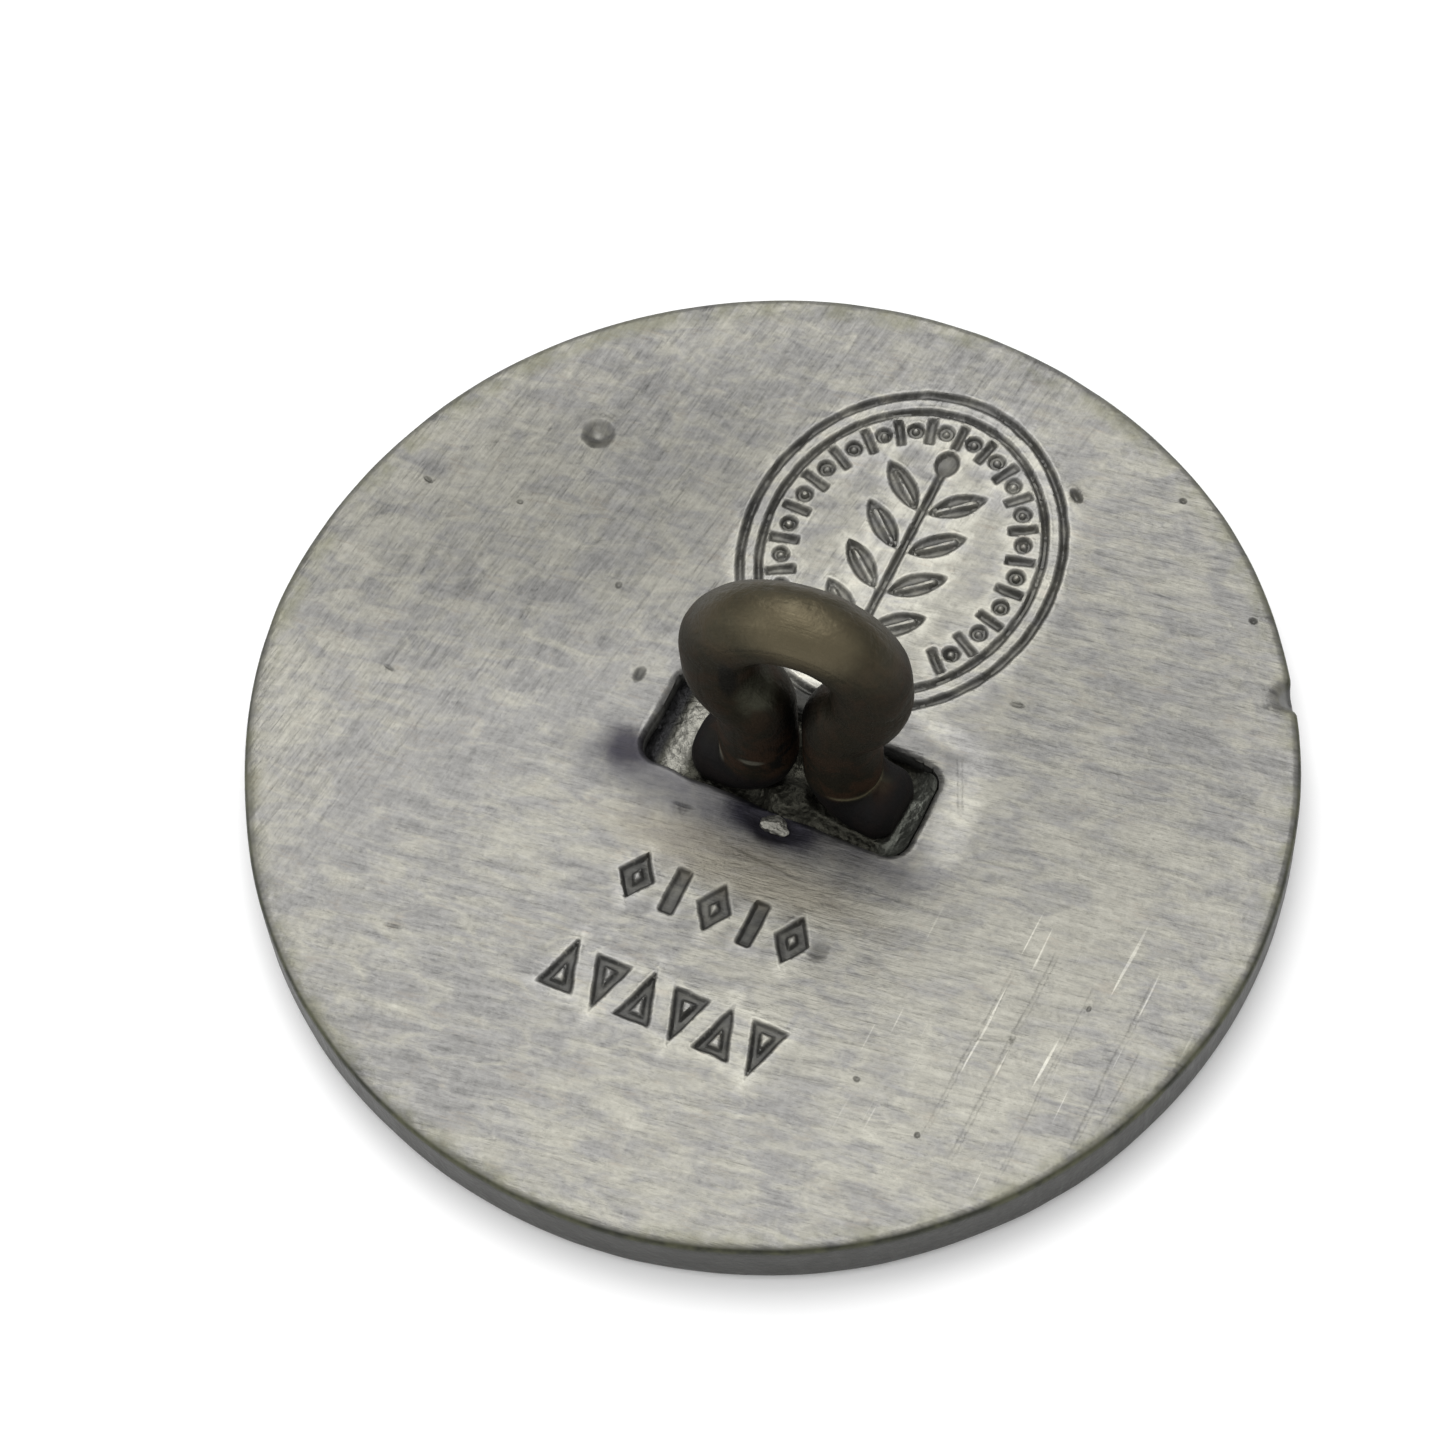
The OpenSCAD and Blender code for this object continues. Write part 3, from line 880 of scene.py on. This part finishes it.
def loop_path():
    """The wire's middle line, from the end of one foot to the other's."""
    flare_x = LEG_X + FLARE_R
    eye = np.vstack([
        arc(0, EYE_HIGH_Z, EYE_R, 90, 0, 40),
        straight(EYE_R, EYE_HIGH_Z, EYE_LOW_Z, 18),
        arc(0, EYE_LOW_Z, EYE_R, 0, -FLARE_ANGLE, 20),
        arc(flare_x, FLARE_Z, FLARE_R, 180 - FLARE_ANGLE, 180, 12),
        straight(LEG_X, FLARE_Z, NECK_Z, 12),
    ])
    eye = np.column_stack([eye[:, 0], np.zeros(len(eye)), eye[:, 1]])
    bend = arc(FOOT_BEND, 0, FOOT_BEND, 180, 270, 16)
    foot = np.stack([np.linspace(FOOT_BEND, FOOT_BEND + FOOT_L, 12), np.full(12, -FOOT_BEND)], 1)
    foot = np.vstack([bend, foot])
    foot = np.column_stack([foot[:, 0], np.zeros(len(foot)), foot[:, 1]])
    foot = turned_about_z(foot, FOOT_TURN - EYE_TURN) + [LEG_X, 0, NECK_Z]
    half = np.vstack([eye, foot])
    other = half[1:][::-1] * [-1, -1, 1]
    return turned_about_z(np.vstack([other, half]), EYE_TURN) + [SHANK_X, SHANK_Y, 0]


path = loop_path()
along = np.concatenate([[0], np.cumsum(np.linalg.norm(np.diff(path, axis=0), axis=1))])
from_end = np.minimum(along, along[-1] - along)
girth = WIRE_R * np.sqrt(1 - 0.62 * (1 - np.minimum(from_end / 0.55, 1)) ** 2)
girth = girth * (1 - 0.025 * smooth(2.6, 1.6, from_end) + 0.012 * cloudy(along, along * 0, 2.0, 61))
line = bpy.data.meshes.new("loop line")
line.from_pydata((path * MM).tolist(), [(i, i + 1) for i in range(len(path) - 1)], [])
line.attributes.new("girth", "FLOAT", "POINT").data.foreach_set("value", (girth / WIRE_R).astype(np.float32))
loop_line = bpy.data.objects.new("loop line", line)
bpy.context.scene.collection.objects.link(loop_line)


def drawn_wire(tree, given):
    curve = tree.node("GeometryNodeMeshToCurve", None, {0: given["Geometry"]})
    thickness = tree.node("GeometryNodeInputNamedAttribute", {"data_type": "FLOAT"}, {"Name": "girth"})
    length = tree.node("GeometryNodeSplineParameter", None, None, 1)
    curve = tree.node(
        "GeometryNodeStoreNamedAttribute", {"data_type": "FLOAT", "domain": "POINT"},
        {"Geometry": curve, "Name": "along", "Value": length * 1000.0},
    )
    section = tree.node(
        "GeometryNodeCurvePrimitiveCircle", None,
        {"Resolution": given["Sides"], "Radius": given["Wire radius"]},
    )
    around = tree.node("GeometryNodeSplineParameter", None, None, 0)
    section = tree.node(
        "GeometryNodeStoreNamedAttribute", {"data_type": "FLOAT", "domain": "POINT"},
        {"Geometry": section, "Name": "around", "Value": around},
    )
    wire = tree.node(
        "GeometryNodeCurveToMesh", None,
        {"Curve": curve, "Profile Curve": section, "Scale": thickness, "Fill Caps": True},
    )
    place = tree.node("GeometryNodeInputPosition")
    dents = tree.node(
        "ShaderNodeTexNoise", None, {"Vector": place, "Scale": 700.0, "Detail": 2.0, "Roughness": 0.45}
    )
    normal = tree.node("GeometryNodeInputNormal")
    offset = tree.node(
        "ShaderNodeVectorMath", {"operation": "SCALE"},
        {0: normal, "Scale": (dents - 0.52) * given["Unevenness"]},
    )
    wire = tree.node("GeometryNodeSetPosition", None, {"Geometry": wire, "Offset": offset})
    return finished(tree, given, wire)


def brass_finish():
    brass = Finish("aged brass wire")
    along_wire = brass.node("ShaderNodeAttribute", {"attribute_name": "along"}, None, 2)
    around_wire = brass.node("ShaderNodeAttribute", {"attribute_name": "around"}, None, 2)
    drawn_at = brass.node("ShaderNodeCombineXYZ", None, {
        "X": along_wire * 0.35,
        "Y": (around_wire * 6.2832).math("SINE") * 9.0,
        "Z": (around_wire * 6.2832).math("COSINE") * 9.0,
    })
    drawn = brass.noise(drawn_at, 1.0, 3.0, 0.6)
    cloud = brass.noise(brass.place, 0.45, 3.0, 0.6)
    blotch = brass.noise(brass.place, 1.6, 3.0, 0.6, 0.3)
    grain = brass.noise(brass.place, 9.0, 2.0, 0.6)
    # lighter towards the top of the eye: rubbed wear and a painted highlight
    worn_and_lit_top = brass.z.step(8.6, 11.2) * (0.35 + blotch * 0.9)
    colour = brass.mix((0.019, 0.0158, 0.0087, 1), (0.0285, 0.0185, 0.0103, 1), blotch.step(0.4, 0.65))
    colour = brass.mix(colour, (0.078, 0.068, 0.04, 1), worn_and_lit_top.math("MINIMUM", 1.0) * 0.68)
    colour = brass.shaded(colour, 0.7 + cloud * 0.4 + (grain - 0.5) * 0.35 + (drawn - 0.5) * 0.35)
    ragged = (blotch - 0.5) * 0.8
    # painted shade: a near-black crescent inside the eye's lower left
    inside = brass.blot((-0.36, -1.3, 8.3), (0.2, 0.5, 0.95), 0.3, ragged * 0.5)
    colour = brass.mix(colour, (0.004, 0.004, 0.003, 1), inside * 0.9)
    # painted reflection: a lighter olive lobe on the eye's lower inside, where the lit face shows in the wire
    olive = brass.blot((0.2, -0.75, 7.05), (0.5, 0.62, 0.6), 0.4, ragged)
    colour = brass.mix(colour, (0.05, 0.05, 0.034, 1), olive * 0.8)
    # painted shade: the legs' inner sides are blackened along a slanting slit between them
    along_slit = brass.x - 1.0 - (brass.z - 5.0) * 0.13
    slit_shade = (along_slit * along_slit * -4.0).math("EXPONENT") * brass.z.step(7.0, 6.3) * brass.z.step(3.0, 3.6)
    colour = brass.mix(colour, (0.003, 0.003, 0.003, 1), slit_shade * 0.92)
    lit_top = brass.blot((1.75, -0.75, 10.9), (1.5, 0.85, 0.8), 0.5, ragged)
    colour = brass.mix(colour, (0.15, 0.125, 0.076, 1), lit_top * 0.55)
    brown = brass.z.step(6.4, 4.2) * blotch.step(0.42, 0.6)
    colour = brass.mix(colour, (0.04, 0.021, 0.011, 1), brown * 0.7)
    # painted highlights: two small light spots on the legs near the solder
    leg_glints = brass.blot((0.14, -1.28, 3.95), (0.3, 0.3, 0.11), 0.5, ragged).math(
        "MAXIMUM", brass.blot((-0.9, -0.95, 3.2), (0.16, 0.3, 0.3), 0.5, ragged)
    )
    colour = brass.mix(colour, (0.16, 0.155, 0.125, 1), leg_glints * 0.75)
    # painted highlight: a thin yellowish line round the right leg where the solder met it
    tide_line_glint = ((brass.z - 3.05 - ragged * 0.12) / 0.07) ** 2.0
    tide_line_glint = (tide_line_glint * -1.0).math("EXPONENT") * brass.x.step(2.0, 2.5)
    colour = brass.mix(colour, (0.2, 0.18, 0.11, 1), tide_line_glint * 0.7)
    # painted shade: the wire down in the pocket is made near black
    low = brass.z.step(3.3, 2.7)
    colour = brass.mix(colour, (0.007, 0.007, 0.008, 1), low * (1 - tide_line_glint) * 0.85)
    rough = 0.5 + (blotch - 0.5) * 0.25 + (grain - 0.5) * 0.15 - worn_and_lit_top * 0.06 + brass.z.step(5.0, 3.0) * 0.2
    height = (grain - 0.5) * 0.5 + (drawn - 0.5) * 0.7
    normal = brass.bump(height, 0.00002)
    normal = brass.bump(blotch - 0.5, 0.00006, normal)
    return brass.surface(
        {"Metallic": 0.7, "Specular IOR Level": 0.3}, Base_Color=colour, Roughness=rough, Normal=normal
    )


aged_brass = brass_finish()
wire_loop = shaped_by_nodes(
    "wire_loop",
    {"Wire radius": WIRE_R * MM, "Sides": 72, "Unevenness": 0.00007, "Finish": aged_brass},
    drawn_wire,
    loop_line,
)
wire_loop.data.set_sharp_from_angle(angle=math.radians(50))
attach(wire_loop, "root")
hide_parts("shank_wire")


# --------------------------------------------------------------- the solder
# Soft solder was run into the pocket round the feet. It wets the walls and
# the wire, and heaps up in the fork between the two legs.
SOLDER_Z = solder_high.z
FLOOR_Z = solder_low.z


def bed_gap(x, y):
    return pocket_gap(x, y) + 0.004


bed_edge = []
for angle in np.linspace(0, 2 * math.pi, 420, endpoint=False):
    reach = np.linspace(0.5, 6.0, 1200)
    ex, ey = POCKET_X + reach * math.cos(angle), POCKET_Y + reach * math.sin(angle)
    inside = bed_gap(ex, ey) < -0.03
    last = reach[np.nonzero(inside)[0][-1]]
    bed_edge.append((POCKET_X + last * math.cos(angle), POCKET_Y + last * math.sin(angle)))
bed_edge = np.array(bed_edge)
column, row = np.meshgrid(np.arange(-75, 76), np.arange(-32, 33))
bed_x = POCKET_X + (column + 0.5 * (row % 2)) * 0.06
bed_y = POCKET_Y + row * 0.052
bed_inside = np.stack([bed_x.ravel(), bed_y.ravel()], 1)
bed_inside = bed_inside[bed_gap(bed_inside[:, 0], bed_inside[:, 1]) < -0.08]
bed_flat = np.vstack([bed_edge, bed_inside])


def bed_height(x, y):
    wall = -bed_gap(x, y)
    height = SOLDER_Z + 0.22 * np.exp(-wall / 0.16)
    dx, dy = x - SHANK_X, y - SHANK_Y
    c, s = math.cos(math.radians(FOOT_TURN)), math.sin(math.radians(FOOT_TURN))
    u, v = dx * c + dy * s, dy * c - dx * s
    past = np.maximum(np.abs(u) - LEG_X - FOOT_BEND - FOOT_L, 0)
    from_foot = np.hypot(past, np.maximum(np.abs(v) - 0.75, 0))
    height = height + 0.3 * np.exp(-from_foot / 0.2)
    heap = np.exp(-((dx / 0.62) ** 2) - (((dy + 0.85) / 0.5) ** 2))
    height = height + 0.75 * heap
    back_heap = np.exp(-((dx / 0.55) ** 2) - (((dy - 0.95) / 0.4) ** 2))
    height = height + 0.5 * back_heap
    left = np.exp(-(((x + 2.45) / 0.5) ** 2) - (((y - 0.2) / 0.9) ** 2))
    height = height + 0.16 * left + 0.035 * cloudy(x, y, 0.45, 71) + 0.02 * cloudy(x, y, 0.18, 72)
    right = smooth(3.55, 4.3, x) * (0.75 + 0.25 * cloudy(x, y, 0.6, 73))
    return np.minimum(height + 0.5 * right, BACK_Z - 0.06)


corners, _, triangles, _, _, _ = geometry.delaunay_2d_cdt(
    [Vector(p) for p in bed_flat.tolist()], [], [], 0, 1e-7
)
bed_xy = np.array([tuple(c) for c in corners])
bed_z = bed_height(bed_xy[:, 0], bed_xy[:, 1])
edges = dict.fromkeys(pair for corner in triangles for pair in zip(corner, corner[1:] + corner[:1]))
rim_edges = {a: b for a, b in edges if (b, a) not in edges}
loop = [next(iter(rim_edges))]
while rim_edges[loop[-1]] != loop[0]:
    loop.append(rim_edges[loop[-1]])
count = len(bed_xy)
floor_points = np.column_stack([bed_xy[loop], np.full(len(loop), FLOOR_Z + 0.02)])
bed_points = np.vstack([np.column_stack([bed_xy, bed_z]), floor_points])
bed_faces = [tuple(t) for t in triangles]
for i in range(len(loop)):
    j = (i + 1) % len(loop)
    bed_faces.append((loop[j], loop[i], count + i, count + j))
bed_faces.append(tuple(count + i for i in reversed(range(len(loop)))))
bed = mesh_object("solder_fill", bed_points, bed_faces)
bed.data.set_sharp_from_angle(angle=math.radians(60))


def solder_finish(name, bright):
    solder = Finish(name)
    cloud = solder.noise(solder.place, 0.9, 3.0, 0.6)
    frost = solder.noise(solder.place, 5.0, 3.0, 0.65)
    crystal = solder.node("ShaderNodeTexVoronoi", {"feature": "F1"}, {"Vector": solder.place, "Scale": 5.5})
    ragged = (frost - 0.5) * 0.8
    lit = solder.patch(-2.36, 0.0, 0.34, 1.5, 0, 0.4, ragged)
    colour = solder.mix((0.045, 0.044, 0.034, 1), (0.26, 0.255, 0.225, 1), lit * 0.8 if not bright else 0.9)
    colour = solder.shaded(colour, 0.6 + cloud * 0.5 + (frost - 0.5) * 0.6 + crystal * 0.3)
    flux = (solder.x - 3.4).step(0.0, 0.7)
    colour = solder.mix(colour, (0.11, 0.115, 0.1, 1), flux * (0.0 if bright else 0.85))
    in_shade = solder.x.step(-2.62, -2.95) * (0.0 if bright else 0.9)
    colour = solder.mix(colour, (0.01, 0.01, 0.012, 1), in_shade)
    rough = 0.4 + (frost - 0.5) * 0.35 + cloud * 0.1
    normal = solder.bump(frost * 0.8 + crystal * 0.5, 0.00006)
    return solder.surface({"Metallic": 0.85}, Base_Color=colour, Roughness=rough, Normal=normal)


solder_metal = solder_finish("soft solder", False)
bed.data.materials.append(solder_metal)
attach(bed, "root")
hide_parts("solder_bed")


# ---------------------------------------------------------------- the drop
# One drop of solder ran over the near edge of the pocket, chilled in a
# chipped scoop of the face, and stayed brighter than the rest.
DROP_R = (spill_high.x - spill_low.x) / 2
DROP_Z = spill_low.z


def frozen_drop(tree, given):
    ball = tree.node("GeometryNodeMeshIcoSphere", None, {"Radius": 1.0, "Subdivisions": 5})
    place = tree.node("GeometryNodeInputPosition")
    lumps = tree.node(
        "ShaderNodeTexNoise", None, {"Vector": place, "Scale": 1.7, "Detail": 2.0, "Roughness": 0.5}
    )
    x, y, z = (tree.node("ShaderNodeSeparateXYZ", None, {0: place}, i) for i in range(3))
    swell = 0.72 + lumps * 0.56
    shape = tree.node(
        "ShaderNodeCombineXYZ", None,
        {
            "X": x * swell * given["Radius"] * 1.12 + SPILL_X * MM,
            "Y": (y * swell * 0.72 - x * x * 0.25) * given["Radius"] + SPILL_Y * MM,
            "Z": z * swell * given["Radius"] * 0.5 + given["Height"],
        },
    )
    drop = tree.node("GeometryNodeSetPosition", None, {"Geometry": ball, "Position": shape})
    return finished(tree, given, drop)


drop = shaped_by_nodes(
    "solder_drop",
    {"Radius": DROP_R * MM, "Height": (DROP_Z + 0.04) * MM, "Finish": solder_finish("bright solder", True)},
    frozen_drop,
)
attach(drop, "root")
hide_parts("solder_spill")


# ------------------------------------------------------------ floor and light
# A plain pale tabletop, a wide soft light high over the button and two weak
# ones, and a long lens that looks down on its back.
floor = mesh_object(
    "tabletop", [(-900, -900, -0.02), (900, -900, -0.02), (900, 900, -0.02), (-900, 900, -0.02)],
    [(0, 1, 2, 3)],
)
paper = Finish("pale paper")
paper_grain = paper.noise(paper.place, 0.05, 2.0, 0.5)
floor.data.materials.append(
    paper.surface(
        {"Roughness": 0.9}, Base_Color=paper.shaded((0.93, 0.93, 0.93, 1), 0.995 + paper_grain * 0.01)
    )
)

world = bpy.data.worlds.new("soft room")
bpy.context.scene.world = world
world.use_nodes = True
world.node_tree.nodes["Background"].inputs["Color"].default_value = (1.0, 1.0, 1.0, 1)
world.node_tree.nodes["Background"].inputs["Strength"].default_value = 0.72


def soft_light(name, place, size, power):
    """A square soft light at a place in millimetres, aimed at the button."""
    lamp = bpy.data.lights.new(name, "AREA")
    lamp.shape, lamp.size, lamp.energy = "SQUARE", size * MM, power
    made = bpy.data.objects.new(name, lamp)
    made.location = Vector(place) * MM
    made.rotation_mode = "QUATERNION"
    made.rotation_quaternion = Vector(place).to_track_quat("Z", "Y")
    bpy.context.scene.collection.objects.link(made)


soft_light("window", (-90, 150, 400), 280, 1.0)
soft_light("ceiling", (50, -60, 420), 260, 0.35)
soft_light("fill", (-260, -220, 200), 200, 0.3)

AZIMUTH = math.radians(30.5)
TILT = math.radians(26.902)
ROLL = math.radians(-5.345)
DISTANCE, TO_THE_LEFT, RAISED = 126.0, 1.2534, 0.8345
back = Vector((math.sin(AZIMUTH) * math.sin(TILT), -math.cos(AZIMUTH) * math.sin(TILT), math.cos(TILT)))
level = Vector((math.cos(AZIMUTH), math.sin(AZIMUTH), 0))
upright = back.cross(level)
right = math.cos(ROLL) * level + math.sin(ROLL) * upright
up = math.cos(ROLL) * upright - math.sin(ROLL) * level
camera = bpy.data.objects.new("camera", bpy.data.cameras.new("camera"))
camera.data.sensor_width = 36.0
camera.data.lens = 118.69
camera.data.clip_start = 0.01
stand = Vector((0, 0, BACK_Z)) + DISTANCE * back - TO_THE_LEFT * right + RAISED * up
pose = Matrix((right, up, back)).transposed().to_4x4()
pose.translation = stand * MM
camera.matrix_world = pose
bpy.context.scene.collection.objects.link(camera)
bpy.context.scene.camera = camera
bpy.context.scene.view_settings.view_transform = "Standard"
